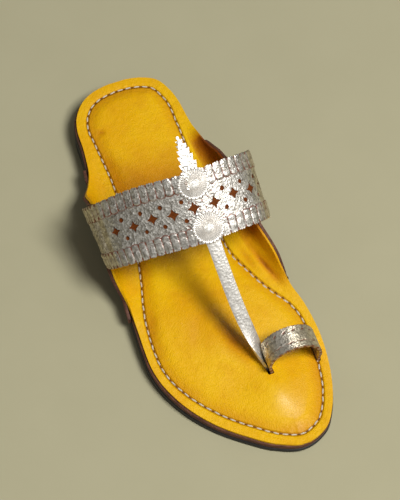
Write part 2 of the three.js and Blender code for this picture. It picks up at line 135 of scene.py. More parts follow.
def selectWhere(obj, chosen):
    # opens a mesh for editing with only the chosen vertices selected
    useOnly(obj)
    bpy.ops.object.mode_set(mode="EDIT")
    bpy.ops.mesh.select_mode(type="VERT")
    bpy.ops.mesh.select_all(action="DESELECT")
    bpy.ops.object.mode_set(mode="OBJECT")
    for vertex, wanted in zip(obj.data.vertices, chosen):
        vertex.select = bool(wanted)
    bpy.ops.object.mode_set(mode="EDIT")


def newSheet(name, across, along):
    # a flat grid, with the share 0 to 1 of each vertex across and along it
    selectNone()
    bpy.ops.mesh.primitive_grid_add(x_subdivisions=across, y_subdivisions=along, size=1)
    sheet = bpy.context.object
    sheet.name = sheet.data.name = name
    flat = getPlaces(sheet) + 0.5
    return sheet, flat[:, 0], flat[:, 1]


def mergeSeam(obj, turnOut=True):
    # joins a sheet's edges where they meet, and turns a closed one's faces outwards
    useOnly(obj)
    bpy.ops.object.mode_set(mode="EDIT")
    bpy.ops.mesh.select_all(action="SELECT")
    bpy.ops.mesh.remove_doubles(threshold=mergeGap)
    if turnOut:
        bpy.ops.mesh.normals_make_consistent(inside=False)
    bpy.ops.object.mode_set(mode="OBJECT")


def joinAll(objects, name):
    selectNone()
    for obj in objects:
        obj.select_set(True)
    bpy.context.view_layer.objects.active = objects[0]
    bpy.ops.object.join()
    joined = bpy.context.object
    joined.name = joined.data.name = name
    return joined


def ownCopy(obj):
    copy = obj.copy()
    copy.data = obj.data.copy()
    bpy.context.collection.objects.link(copy)
    return copy


def finishPiece(obj, finishes, angle=40):
    obj.data.materials.clear()
    for finish in finishes:
        obj.data.materials.append(finish)
    useOnly(obj)
    bpy.ops.object.shade_smooth_by_angle(angle=math.radians(angle))
    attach(obj, "root")


footbed = {
    "along": [-127, -122, -113, -104, -92, -78, -64, -48, -20, 0, 16, 30, 44, 56, 68, 84, 100, 113, 122],
    "inner": [-10.8, -19.6, -24.3, -26.5, -27.5, -28.8, -29.5, -31.2, -32.5, -35, -38.5, -43, -47, -48.6,
              -49, -47.4, -43.6, -38, -31],
    "outer": [18.8, 27.6, 34.2, 36.8, 37.5, 39.1, 40.6, 41.4, 43, 44.6, 46.3, 47.2, 48, 47.8, 45.2, 37.8,
              25.6, 11, -1.6],
    # the seam's distance from the edge
    "innerInset": [6.6, 6.6, 6.5, 6.4, 7.2, 8.6, 9.6, 12, 14.6, 16.2, 13.6, 11.4, 7.4, 5.8, 6, 6, 5.6,
                   5.6, 6.2],
    "outerInset": [6.6, 6.6, 6.4, 6.4, 7.4, 9.6, 11.4, 11.8, 11.8, 9.8, 7.2, 5.4, 5, 5, 5.2, 6, 6.6,
                   6.6, 6.2],
    "heelTip": (3.5, -129.2), "toeTip": (-17.0, 127.4),
    "leather": 1.3, "padding": 1.7, "paddingSlope": 9, "crown": 0.9, "crownSlope": 34, "flange": 6,
    "endGap": 0.25,
}
heights = {
    "along": [-127, -90, -56, -20, 20, 44, 70, 110, 129],
    "flangeTop": [16.6, 16.6, 15.9, 14.6, 13, 12, 10.4, 8.8, 9.2],
    "soleBottom": [6.8, 6.8, 6.6, 4, 0.9, 0, 0, 0, 1.4],
    "midsole": 3.4, "gap": 0.3, "heelLiftEnd": -54,
}
wings = {   # leather past the bend line: its reach, and how far its first bend turns
    "along": [-90, -85, -78, -71, -64, -56, -48, -42, -36, -28, -18, -10, -3, 2, 9, 16, 23, 30, 38, 44],
    "innerReach": [6, 6, 6.8, 8, 11.4, 16.4, 20, 26.5, 35, 38, 38, 32, 18.6, 17.4, 16, 13.7, 9.6, 7, 6, 6],
    "innerBend": [0, 4, 30, 62, 80, 80, 80, 80, 80, 80, 80, 80, 80, 78, 74, 70, 58, 26, 3, 0],
    "outerReach": [6, 6, 6.2, 7.4, 10.2, 16.4, 21.5, 28, 36, 39, 37, 30, 17, 13, 9.2, 7.2, 6.5, 6.2, 6, 6],
    "outerBend": [0, 0, 8, 28, 38, 50, 65, 65, 65, 65, 65, 65, 65, 60, 50, 33, 12, 3, 0, 0],
    "bendRadius": {"inner": 7, "outer": 10}, "leanRadius": {"inner": 80, "outer": 28},
    "fullBend": {"inner": 80, "outer": 65},
}


def closedCurve(points, perSpan=40):
    # rounded closed line through the outline's points
    p = np.array(points, float)
    n, t, spans = len(p), np.linspace(0, 1, perSpan, endpoint=False)[:, None], []
    for i in range(n):
        a, b, c, d = p[i - 1], p[i], p[(i + 1) % n], p[(i + 2) % n]
        g0, g1, g2 = (math.sqrt(np.linalg.norm(q - r)) for q, r in ((b, a), (c, b), (d, c)))
        m1 = ((b - a) / g0 - (c - a) / (g0 + g1) + (c - b) / g1) * g1
        m2 = ((c - b) / g1 - (d - b) / (g1 + g2) + (d - c) / g2) * g1
        spans.append((2 * t**3 - 3 * t**2 + 1) * b + (t**3 - 2 * t**2 + t) * m1
                     + (3 * t**2 - 2 * t**3) * c + (t**3 - t**2) * m2)
    return np.concatenate(spans)


def evenLoop(points, count):
    ring = np.vstack([points, points[:1]])
    far = np.concatenate([[0], np.cumsum(np.linalg.norm(np.diff(ring, axis=0), axis=1))])
    at = np.linspace(0, far[-1], count, endpoint=False)
    return np.stack([np.interp(at, far, ring[:, k]) for k in range(2)], axis=1)


def outwardOf(loop):
    run = unit(np.roll(loop, -1, axis=0) - np.roll(loop, 1, axis=0))
    return np.stack([-run[:, 1], run[:, 0]], axis=1)      # the loop runs up the inner side


def grownLoop(margin, outerMargin):
    away = outwardOf(coverLoop)
    return coverLoop + away * (margin + (outerMargin - margin) * np.maximum(0, away[:, :1]))


innerEdge = list(zip(footbed["inner"], footbed["along"]))
outerEdge = list(zip(footbed["outer"], footbed["along"]))[::-1]
coverLoop = evenLoop(closedCurve([footbed["heelTip"], *innerEdge, footbed["toeTip"], *outerEdge]), 720)
rearmost, foremost = coverLoop[:, 1].argmin(), coverLoop[:, 1].argmax()
turned = np.roll(coverLoop, -rearmost, axis=0)
toeIndex = (foremost - rearmost) % len(coverLoop)
innerLine, outerLine = turned[:toeIndex + 1], np.vstack([turned[toeIndex:], turned[:1]])[::-1]


def sideAt(which, along):
    line = innerLine if which == "inner" else outerLine
    return np.interp(along, line[:, 1], line[:, 0])


def flangeTop(along):
    return columnAt(heights, "flangeTop", along)


def soleBottom(along):
    return columnAt(heights, "soleBottom", along)


def flangeShare(along):
    return np.minimum(footbed["flange"], 0.3 * (sideAt("outer", along) - sideAt("inner", along)))


def bendLine(which, along):
    return sideAt(which, along) - side[which] * flangeShare(along)


def wingReach(which, along):
    return columnAt(wings, which + "Reach", along) / footbed["flange"] * flangeShare(along)


def wingFace(which, along, length, depth):
    # a place on a wing at a length past its bend line, and a depth of leather away from its inner face
    radius, lean = wings["bendRadius"][which], wings["leanRadius"][which]
    bend = np.radians(columnAt(wings, which + "Bend", along))
    tight = np.minimum(length, radius * bend)
    start = tight / radius
    slow = lean / np.maximum((bend / math.radians(wings["fullBend"][which])) ** 4, 1e-3)
    end = start + (length - tight) / slow
    out = radius * np.sin(start) + slow * (np.sin(end) - np.sin(start)) + depth * np.sin(end)
    rise = radius * (1 - np.cos(start)) + slow * (np.cos(start) - np.cos(end)) - depth * np.cos(end)
    return np.stack([bendLine(which, along) + side[which] * out, along, flangeTop(along) + rise], axis=-1)


soleEdge = {"midsole": (0.2, 1.4), "outsole": (0.8, 2.4)}     # stands out past the footbed: inner, outer
soleLoop = grownLoop(*soleEdge["outsole"])
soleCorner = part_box("outsole")[0]
frameShift = np.array([soleCorner.x / mm - soleLoop[:, 0].min(),
                       soleCorner.y / mm - soleLoop[:, 1].min() - footbed["endGap"], 0])
print("frame shift in mm", frameShift.round(2))


def linear(hexColour):
    parts = [int(hexColour[i:i + 2], 16) / 255 for i in (1, 3, 5)]
    return [c / 12.92 if c <= 0.04045 else ((c + 0.055) / 1.055) ** 2.4 for c in parts] + [1.0]


def addNode(tree, kind, links=None, output=0, **settings):
    # one node with its settings, and its inputs by name or number; gives back one of its outputs
    node = tree.nodes.new(kind)
    for key, value in settings.items():
        setattr(node, key, value)
    for key, value in (links or {}).items():
        if isinstance(value, bpy.types.NodeSocket):
            tree.links.new(value, node.inputs[key])
        else:
            node.inputs[key].default_value = value
    return node.outputs[output]


def newFinish(name, colour, settings, *grains):
    # a material with its fixed values, the place on the piece that its patterns follow, and a noise for
    # each grain: its width in millimetres, its detail and its roughness
    material = bpy.data.materials.new(name)
    material.use_nodes = True
    tree = material.node_tree
    for key, value in {"Base Color": linear(colour), **settings}.items():
        tree.nodes["Principled BSDF"].inputs[key].default_value = value
    material.diffuse_color = linear(colour)
    place = addNode(tree, "ShaderNodeTexCoord", output=3)
    noises = [addNode(tree, "ShaderNodeTexNoise", {"Vector": place, "Scale": 1 / (width * mm),
                                                   "Detail": detail, "Roughness": rough})
              for width, detail, rough in grains]
    return material, tree, place, *noises


def wireFinish(material, feeds, relief=None, depth=0, strength=0):
    # what the shader reads from nodes, by input, and a relief pressed so many millimetres deep
    tree = material.node_tree
    if relief:
        feeds["Normal"] = addNode(tree, "ShaderNodeBump", {"Height": relief, "Distance": depth * mm,
                                                           "Strength": strength})
    for key, feed in feeds.items():
        tree.links.new(feed, tree.nodes["Principled BSDF"].inputs[key])
    return material


def layColours(tree, base, layers):
    # colours laid over one another, each by its pattern: where it begins and ends, and how much it gives
    for pattern, ends, colour in layers:
        if ends:
            pattern = addNode(tree, "ShaderNodeMapRange", {0: pattern, **dict(enumerate(ends, 1))})
        top = linear(colour) if isinstance(colour, str) else colour
        base = addNode(tree, "ShaderNodeMix", {0: pattern, 6: base, 7: top}, 2, data_type="RGBA")
    return base


def waxedYellowLeather():
    # Vegetable-tanned goat leather, dyed yellow, rolled and waxed: satin, with 0.7 mm pores, soft
    # 3 mm creases, and painted ochre shade inside the seam, in its groove, in folds, under the band and on
    # the wings.
    material, tree, place, cloud, blotch, crease, fleck = newFinish(
        "waxedYellowLeather", "#EFB91C",
        {"Roughness": 0.42, "Specular IOR Level": 0.12, "Coat Roughness": 0.25},
        (34, 4.0, 0.5), (8, 5.0, 0.5), (3.2, 4.0, 0.5), (1.5, 2.0, 0.5))
    seam, stitch, pooled, burnish = (
        addNode(tree, "ShaderNodeAttribute", output=2, attribute_name=name)
        for name in ("seam", "stitch", "pooled", "burnish"))
    pore = addNode(tree, "ShaderNodeTexVoronoi", {"Vector": place, "Scale": 1 / (0.7 * mm)})

    # painted ochre shade just inside the seam, where the padding rises, patchy
    inside = addNode(tree, "ShaderNodeMapRange", {0: seam, 1: 0.4, 2: 8.5, 3: 0.62, 4: 0.0},
                     interpolation_type="SMOOTHSTEP")
    patchy = addNode(tree, "ShaderNodeMapRange", {0: cloud, 1: 0.3, 2: 0.6, 3: 0.45, 4: 1.0})
    onBed = addNode(tree, "ShaderNodeMapRange", {0: seam, 1: -0.6, 2: 0.5})
    for part in (patchy, onBed):
        inside = addNode(tree, "ShaderNodeMath", {0: inside, 1: part}, operation="MULTIPLY")

    # the seam's groove and the awl holes between two stitches, coloured darker: painted shade of the groove
    # and holes over the leather's own darker brown there
    offSeam = addNode(tree, "ShaderNodeMath", {0: seam}, operation="ABSOLUTE")
    groove = addNode(tree, "ShaderNodeMapRange", {0: offSeam, 1: 0.35, 2: 1.3, 3: 1.0, 4: 0.0},
                     interpolation_type="SMOOTHSTEP")
    for operation in ("FRACT", "SUBTRACT", "ABSOLUTE"):
        stitch = addNode(tree, "ShaderNodeMath", {0: stitch, 1: 0.5}, operation=operation)
    hole = addNode(tree, "ShaderNodeMapRange", {0: stitch, 1: 0.23, 2: 0.13})
    narrow = addNode(tree, "ShaderNodeMapRange", {0: offSeam, 1: 0.3, 2: 0.62, 3: 1.0, 4: 0.0})
    hole = addNode(tree, "ShaderNodeMath", {0: hole, 1: narrow}, operation="MULTIPLY")

    dyeAndShade = layColours(tree, linear("#F8C406"), [
        (cloud, (0.35, 0.68), "#F0B303"), (blotch, (0.5, 0.75, 0.0, 0.32), "#DC9404"),
        (inside, (), "#D58A0A"), (seam, (-2.0, -8.0, 0.0, 0.12), "#E99F10"),
        # painted shade, ochre and at its strongest deep brown, where the shade attribute is set: folds,
        # beside the strap, under the band, on the wings
        (pooled, (), "#C06802"), (pooled, (0.6, 1.0, 0.0, 0.85), "#6A2C05"),
        (groove, (0.0, 1.0, 0.0, 0.5), "#B0660A"), (hole, (), "#6E4214"),
        (fleck, (0.70, 0.76, 0.0, 0.4), "#B06A0C")])
    polish = addNode(tree, "ShaderNodeMapRange", {0: blotch, 1: 0.3, 2: 0.8, 3: 0.36, 4: 0.52})
    waxed = addNode(tree, "ShaderNodeMapRange", {0: burnish, 3: 0.03, 4: 0.42})
    relief = addNode(tree, "ShaderNodeMapRange", {0: pore, 2: 0.6, 4: 0.55})
    for part, height in ((crease, 1.3), (groove, -1.6)):
        relief = addNode(tree, "ShaderNodeMath", {0: part, 1: height, 2: relief}, operation="MULTIPLY_ADD")
    return wireFinish(material, {"Base Color": dyeAndShade, "Roughness": polish, "Coat Weight": waxed},
                      relief, 0.42, 0.9)


def brownSoleLeather():
    # Sole bend leather, cut and edge-waxed: dark brown, its fibres drawn out along the layer.
    material, tree, place, wax, nap, fibre = newFinish(
        "brownSoleLeather", "#5E3D30", {"Roughness": 0.6, "Specular IOR Level": 0.25},
        (14, 3.0, 0.5), (0.8, 2.0, 0.5), (5, 5.0, 0.65))
    drawn = addNode(tree, "ShaderNodeMapping", {"Vector": place, "Scale": (1, 1, 9)})
    tree.links.new(drawn, fibre.node.inputs["Vector"])
    brown = layColours(tree, linear("#4A2B20"), [
        (fibre, (0.35, 0.65), "#7A4E3A"), (wax, (0.48, 0.72, 0.0, 0.55), "#3A241B")])
    relief = addNode(tree, "ShaderNodeMath", {0: fibre, 1: nap}, operation="ADD")
    return wireFinish(material, {"Base Color": brown}, relief, 0.25, 0.8)


def cutLeatherCore(name, dark, light):
    # The undyed middle of vegetable-tanned leather where a blade has cut it: matt, with 1 mm fibre bundles.
    settings = {"Roughness": 0.8, "Specular IOR Level": 0.12}
    material, tree, _, fibre = newFinish(name, dark, settings, (1.2, 4.0, 0.7))
    cut = layColours(tree, linear(dark), [(fibre, (0.3, 0.7), light)])
    return wireFinish(material, {"Base Color": cut}, fibre, 0.2, 0.6)


def blackSolingRubber():
    # Moulded soling rubber: near black and matt, with a 0.9 mm pebble and dusty scuffs.
    material, tree, _, dust, pebble = newFinish(
        "blackSolingRubber", "#1E1E22", {"Roughness": 0.62}, (12, 5.0, 0.5), (0.9, 3.0, 0.5))
    black = layColours(tree, linear("#1A191D"), [(dust, (0.5, 0.8, 0.0, 0.35), "#454247")])
    return wireFinish(material, {"Base Color": black}, pebble, 0.2, 0.7)


def silverFoilLeather(name, facetShadeAmount, depth, metallic):
    # Aluminium foil hot-pressed on leather: bright, crackled into 1.3 mm facets, with painted shade on its
    # facets and in its creases (the creases partly real dirt), gilt where it is tinted, and rubbed through
    # to the brown core.
    material, tree, place, crinkle, patch, rubbed = newFinish(
        name, "#DAD8D4", {"Roughness": 0.36, "Metallic": metallic},
        (1.5, 5.0, 0.7), (7, 4.0, 0.5), (2, 5.0, 0.75))
    core, gilt = (addNode(tree, "ShaderNodeAttribute", output=2, attribute_name=key)
                  for key in ("core", "gilt"))
    crackle, facet = (
        addNode(tree, "ShaderNodeTexVoronoi", {"Vector": place, "Scale": 1 / (1.3 * mm)}, output)
        for output in (1, 0))
    facetShade = addNode(tree, "ShaderNodeSeparateColor", {0: crackle})
    facetShade = addNode(tree, "ShaderNodeMapRange", {0: facetShade, 4: facetShadeAmount})
    worn = addNode(tree, "ShaderNodeMapRange", {0: rubbed, 1: 0.67, 2: 0.74, 3: 0.0, 4: 0.5})
    bare = addNode(tree, "ShaderNodeMath", {0: core, 1: worn}, operation="MAXIMUM")
    # the crackle's facets and the crinkles are painted darker as their shade, the crinkles partly with real
    # dirt
    gold = layColours(tree, linear("#D9CDAE"), [(facetShade, (), "#7A6A4C")])
    metal = layColours(tree, linear("#E8E4DC"), [
        (facetShade, (), "#6A6051"), (crinkle, (0.54, 0.66, 0.0, facetShadeAmount), "#4E483E"),
        (patch, (0.4, 0.7, 0.0, 0.4), "#A9A59B"), (gilt, (0.0, 1.0, 0.0, 0.85), gold),
        (bare, (), "#713314")])
    shine = addNode(tree, "ShaderNodeMapRange", {0: bare, 3: metallic, 4: 0.0})
    gloss = addNode(tree, "ShaderNodeMapRange", {0: crinkle, 1: 0.3, 2: 0.7, 3: 0.3, 4: 0.5})
    relief = addNode(tree, "ShaderNodeMath", {0: crinkle, 1: facet}, operation="ADD")
    return wireFinish(material, {"Base Color": metal, "Metallic": shine, "Roughness": gloss},
                      relief, depth, 0.9)


def waxedCottonThread():
    # Waxed two-ply cotton, 0.8 mm: off-white, with its 0.6 mm twist a little darker.
    material, tree, _, twist = newFinish("waxedCottonThread", "#DAD2BC", {"Roughness": 0.6},
                                         (0.6, 2.0, 0.5))
    ply = layColours(tree, linear("#EFEADB"), [(twist, (), "#A89A78")])
    return wireFinish(material, {"Base Color": ply})


def matPaper():
    # Matt studio paper, khaki grey, with a very faint 40 mm mottle.
    settings = {"Roughness": 0.95, "Specular IOR Level": 0.2}
    material, tree, _, mottle = newFinish("matPaper", "#B6B090", settings, (40, 3.0, 0.5))
    paper = layColours(tree, linear("#B9B393"), [(mottle, (), "#B3AD8D")])
    return wireFinish(material, {"Base Color": paper})


yellowLeather, brownLeather, rubber = waxedYellowLeather(), brownSoleLeather(), blackSolingRubber()
rustCore = cutLeatherCore("cutLeatherCore", "#562607", "#7C400E")
tanEdge = cutLeatherCore("tanLeatherEdge", "#8A4516", "#C47A2C")
foil = silverFoilLeather("crackledSilverFoil", 0.75, 0.24, 0.88)
shellFoil = silverFoilLeather("embossedSilverFoil", 0.66, 0.1, 0.9)
brightFoil = silverFoilLeather("smoothSilverFoil", 0.14, 0.07, 0.5)
strapFoil = silverFoilLeather("wornSilverFoil", 0.36, 0.11, 0.6)
leafFoil = silverFoilLeather("crinkledSilverFoil", 0.5, 0.34, 0.8)
ringFoil = silverFoilLeather("giltSilverFoil", 0.68, 0.16, 0.82)
ringEdge = cutLeatherCore("orangeLeatherEdge", "#94451A", "#D58442")
thread = waxedCottonThread()
print("finishes made")

sole = {
    "rounding": 0.7, "around": 420, "profile": [0.6, 0.93], "rubberEdge": (0.4, 1.7),
    "spine": (-100, 95), "heelSpine": (-100, -70), "spineStep": 3, "heelMiddle": (4, -60),
}


def midsoleTop(along):
    return flangeTop(along) - footbed["leather"] - heights["gap"]


def outsoleTop(along):
    return midsoleTop(along) - heights["midsole"] - heights["gap"]


def soleLayer(name, loop, topAt, bottomAt, finish, node, spine=sole["spine"]):
    # one closed sheet: from the middle of its underside, round its cut edge, to the middle of its top
    near, far = sole["profile"]
    wall = [(1, 0), (1, 0.25), (1, 0.5), (1, 0.75), (1, 1)]
    rings = [(0, 0), (near, 0), (far, 0), *wall, (far, 1), (near, 1), (0, 1)]
    edge = evenLoop(loop, sole["around"])
    obj, u, v = newSheet(name, sole["around"], len(rings) - 1)
    edge = edge[np.rint(u * sole["around"]).astype(int) % sole["around"]]
    inward, level = np.array(rings)[np.rint(v * (len(rings) - 1)).astype(int)].T
    step = sole["spineStep"]                               # both halves meet on the same points
    spineY = step * np.rint(np.clip(edge[:, 1], *spine) / step)
    middle = np.stack([0.5 * (sideAt("inner", spineY) + sideAt("outer", spineY)), spineY], axis=1)
    flat = middle + (edge - middle) * inward[:, None]
    low, high = bottomAt(flat[:, 1]), topAt(flat[:, 1])
    setPlaces(obj, np.column_stack([flat, low + (high - low) * level]))
    mergeSeam(obj)
    roundEdges(obj, sole["rounding"], 3, 50)
    finishPiece(obj, [finish])
    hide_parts(node)


def makeSole():
    rubberLoop = grownLoop(*sole["rubberEdge"])
    soleLayer("outsole_rubber", rubberLoop, outsoleTop, soleBottom, rubber, "outsole")
    soleLayer("midsole_leather", grownLoop(*soleEdge["midsole"]), midsoleTop,
              lambda along: midsoleTop(along) - heights["midsole"], brownLeather,
              "midsole")
    heel = rubberLoop[rubberLoop[:, 1] <= heights["heelLiftEnd"]]
    x, y = (heel - sole["heelMiddle"]).T
    heel = heel[np.argsort(np.arctan2(x, -y))]
    front = np.linspace(heel[-1], heel[0], 40)[1:-1]
    soleLayer("heel_rubber", np.vstack([heel, front]), lambda along: soleBottom(along) - heights["gap"],
              lambda along: along * 0, rubber, "heel_lift", sole["heelSpine"])
    print("sole layers made")


makeSole()

folds = {   # soft folds: where each starts and ends, its width, its depth, and how much painted shade lies in it; the last two are a painted shadow beside the centre strap and a broad painted shade over the front of the bed
    "start": [(-31, 2), (-25, -2), (27, -99), (29, -84), (36, 20), (8, 26), (12, 72), (5, 38), (8, -10)],
    "end": [(-40, 32), (-30, 20), (21, -96), (25, -68), (43, 44), (20, 58), (-4, 92), (-7, 76), (4, 80)],
    "width": [1.8, 2.2, 2.2, 3, 2.4, 5, 7, 5, 26],
    "depth": [0.9, 0.6, 0.5, 0.4, 0.4, 0.5, 0.5, 0.2, 0],
    "pooled": [0.6, 0.45, 0.55, 0.25, 0.2, 0.1, 0.06, 0.6, 0.12],
}
stitching = {
    "pitch": 5.0, "length": 3.5, "width": 0.95, "height": 0.75, "wander": 0.07, "sunk": 0.14, "droop": 0.1,
    "groove": (0.35, 1.3), "pull": (0.22, 3.2),             # each a depth and how far it reaches
}
toeSlots = [{"x": -13.5, "y": 76.4, "width": 3.6, "length": 13.0},
            {"x": -42.2, "y": 76.8, "width": 2.6, "length": 12.8}]
toePad = {"middle": (-10, 98), "radius": 16, "height": 1.5, "burnished": (-14.5, 104), "burnish": 8.5}
# painted shadow of the band: shade on the bed from behind the band, strongest at deepest, fading out under
# it
underBand = {"from": -87, "deepest": -51, "to": 4, "pooled": 0.64}
# painted shade on the wings' inner faces, more behind the band; the outer wings get a tenth of it
wingShade = {"reach": (6.03, 7.6), "from": (-86, -69), "to": (-8, 12), "ahead": 0.28, "behind": 0.72,
             "spread": 0.2, "outer": 0.1}
bed = {"across": 118, "along": 236, "wingShare": 0.2, "crowding": 0.55}


def seamInset(flat):
    # how far inside the edge the seam runs, near a place on the footbed
    inner, outer = sideAt("inner", flat[:, 1]), sideAt("outer", flat[:, 1])
    share = easeIn(flat[:, 0], inner, np.maximum(outer, inner + 2))
    innerInset = columnAt(footbed, "innerInset", flat[:, 1])
    return innerInset + (columnAt(footbed, "outerInset", flat[:, 1]) - innerInset) * share


def nearest(places, loop):
    distance, index = np.empty(len(places)), np.empty(len(places), int)
    for start in range(0, len(places), 4000):
        block = places[start:start + 4000]
        gap = ((block[:, None, :] - loop[None]) ** 2).sum(2)
        index[start:start + 4000] = gap.argmin(1)
        distance[start:start + 4000] = np.sqrt(gap.min(1))
    return distance, index


seamLoop = evenLoop(coverLoop - outwardOf(coverLoop) * seamInset(coverLoop)[:, None], 1400)
seamLength = np.linalg.norm(np.diff(np.vstack([seamLoop, seamLoop[:1]]), axis=0), axis=1).sum()
seamStitches = round(seamLength / stitching["pitch"])


def foldAt(flat, key):
    total = np.zeros(len(flat))
    rows = (np.array(folds[column], float) for column in ("start", "end", "width", key))
    for start, end, width, amount in zip(*rows):
        length = np.linalg.norm(end - start)
        run = (end - start) / length
        t = np.clip((flat - start) @ run, 0, length)
        near = np.linalg.norm(flat - start - t[:, None] * run, axis=1) / width
        total += amount * np.exp(-near**2) * np.sin(np.pi * np.clip(t / length, 0.08, 0.92))
    return total


def cutSlot(obj, slot):
    selectNone()
    place = (np.array([slot["x"], slot["y"], float(flangeTop(slot["y"]))]) + frameShift) * mm
    size = (slot["width"] * mm, slot["length"] * mm, 0.03)
    bpy.ops.mesh.primitive_cube_add(size=1, location=place, scale=size)
    cutter = bpy.context.object
    bpy.ops.object.transform_apply(location=True, rotation=True, scale=True)
    applyModifier(cutter, "BEVEL", width=0.8 * mm, segments=3)
    applyModifier(obj, "BOOLEAN", object=cutter, operation="DIFFERENCE", solver="EXACT")
    bpy.data.objects.remove(cutter)


def makeFootbed():
    obj, u, v = newSheet("footbed_leather", bed["across"], bed["along"])
    start, end = coverLoop[:, 1].min() + footbed["endGap"], coverLoop[:, 1].max() - footbed["endGap"]
    crowded = bed["crowding"] * (0.5 - 0.5 * np.cos(np.pi * v)) + (1 - bed["crowding"]) * v
    y = start + (end - start) * crowded
    places, seam, wingPaintedShade = np.zeros((len(u), 3)), np.zeros(len(u)), np.zeros(len(u))
    wing = bed["wingShare"]
    for which, part in (("inner", u < wing), ("outer", u > 1 - wing)):
        share = (1 - u / wing) if which == "inner" else (u - 1 + wing) / wing
        along, reach = y[part], wingReach(which, y[part])
        length = share[part] * reach
        places[part] = wingFace(which, along, length, 0)
        flat = np.column_stack([bendLine(which, along) + side[which] * length, along])
        rounded = nearest(flat, coverLoop)[0] - seamInset(flat)
        straight = footbed["flange"] - length - columnAt(footbed, which + "Inset", along)
        seam[part] = np.where((along < -92) | (along > 60), rounded, straight)
        # painted shade on the wing's inner face, heavier behind the band
        behind = easeIn(along, *wingShade["from"]) * (1 - easeIn(along, *wingShade["to"]))
        wingShadeAmount = easeIn(reach, *wingShade["reach"]) * (wingShade["ahead"] + wingShade["behind"] * behind)
        wingPaintedShade[part] = share[part] ** wingShade["spread"] * wingShadeAmount * wingShade.get(which, 1)
    middle = (u >= wing) & (u <= 1 - wing)
    t = (u[middle] - wing) / (1 - 2 * wing)
    x = bendLine("inner", y[middle]) * (1 - t) + bendLine("outer", y[middle]) * t
    flat = np.column_stack([x, y[middle]])
    seam[middle] = nearest(flat, coverLoop)[0] - seamInset(flat)
    rise = footbed["padding"] * easeIn(seam[middle], 0, footbed["paddingSlope"])
    rise += footbed["crown"] * easeIn(seam[middle], -4, footbed["crownSlope"])
    rise += toePad["height"] * np.exp(-((flat - toePad["middle"]) ** 2).sum(1) / toePad["radius"] ** 2)
    places[middle] = np.column_stack([flat, flangeTop(y[middle]) + rise])
    beat = nearest(places[:, :2], seamLoop)[1] / len(seamLoop) * seamStitches
    pulled = 0.5 + 0.5 * np.cos(2 * np.pi * beat)         # each stitch draws the leather down
    for (depth, reach), where in ((stitching["groove"], 1), (stitching["pull"], pulled)):
        places[:, 2] -= depth * where * np.exp(-(seam / reach) ** 2)
    places[:, 2] -= foldAt(places[:, :2], "depth")
    # painted shadow of the band on the bed behind and under it
    under = underBand["pooled"] * easeIn(y, underBand["from"], underBand["deepest"]) * easeIn(seam, -1, 3)
    under = under * (1 - easeIn(y, underBand["deepest"], underBand["to"]))
    setPlaces(obj, places)
    burnish = np.exp(-((places[:, :2] - toePad["burnished"]) ** 2).sum(1) / toePad["burnish"] ** 2)
    pooled = np.clip(foldAt(places[:, :2], "pooled") + under + wingPaintedShade, 0, 1)
    setAttributes(obj, seam=seam, stitch=beat, burnish=burnish, pooled=pooled)
    applyModifier(obj, "SOLIDIFY", thickness=footbed["leather"] * mm, offset=-1, material_offset_rim=1)
    for slot in toeSlots:
        cutSlot(obj, slot)
    finishPiece(obj, [yellowLeather, tanEdge], 50)
    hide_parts("footbed_cover")


def makeStitches():
    # one bead of thread with blunt ends, copied along the seam
    selectNone()
    bpy.ops.mesh.primitive_uv_sphere_add(segments=10, ring_count=8, radius=0.5)
    bead = bpy.context.object
    selectWhere(bead, np.abs(getPlaces(bead)[:, 0]) > 0.3)
    bpy.ops.transform.resize(value=(1.0, 1.5, 1.5))
    bpy.ops.mesh.select_all(action="SELECT")
    bpy.ops.transform.resize(value=(stitching["length"], stitching["width"], stitching["height"]))
    bpy.ops.object.mode_set(mode="OBJECT")
    shape = getPlaces(bead)
    copies = []
    for number in range(seamStitches):
        k = int(round(number / seamStitches * len(seamLoop))) % len(seamLoop)
        run = unit(seamLoop[(k + 5) % len(seamLoop)] - seamLoop[k - 5])
        turn = chance.normal(0, stitching["wander"])
        run = np.array([run[0] - turn * run[1], run[1] + turn * run[0]])
        flat = seamLoop[k] + shape[:, :1] * run + shape[:, 1:2] * np.array([-run[1], run[0]])
        y = seamLoop[k][1]
        slope = float(flangeTop(y + 2) - flangeTop(y - 2)) / 4
        z = float(flangeTop(y)) - stitching["sunk"] + shape[:, 2] + slope * (flat[:, 1] - y)
        z = z - stitching["droop"] * (shape[:, 0] / stitching["length"] * 2) ** 2
        z = z - float(foldAt(seamLoop[k:k + 1], "depth")[0])
        copies.append(ownCopy(bead))
        setPlaces(copies[-1], np.column_stack([flat, z]))
    bpy.data.objects.remove(bead)
    finishPiece(joinAll(copies, "footbed_stitches"), [thread], 60)
    print("stitches", seamStitches)


makeFootbed()
makeStitches()
print("footbed made")

ears = {
    "thickness": 1.6, "inner": (-71, 30), "outer": (-78, 23), "gap": 0.42, "standOff": 0.35, "drop": 0.2,
    "corner": 0.4,
}


def earFace(which, along, share):
    # inside face of an ear: up the sole's side, then along the wing's outer face
    sign = side[which]
    margin = soleEdge["midsole"][0 if which == "inner" else 1] + ears["standOff"]
    foot = sideAt(which, along) + sign * margin
    bottom = outsoleTop(along) + heights["gap"]
    lengths = np.linspace(0, 1, 40)
    reach = wingReach(which, along)
    result = np.empty((len(along), 3))
    for k in range(len(along)):
        face = wingFace(which, np.full(40, along[k]), lengths * reach[k], footbed["leather"] + ears["gap"])
        z = bottom[k] + (face[-1, 2] - ears["drop"] - bottom[k]) * share[k]
        x = np.interp(z, face[:, 2], face[:, 0])
        result[k] = (sign * max(sign * x, sign * foot[k]), along[k], z)
    return result


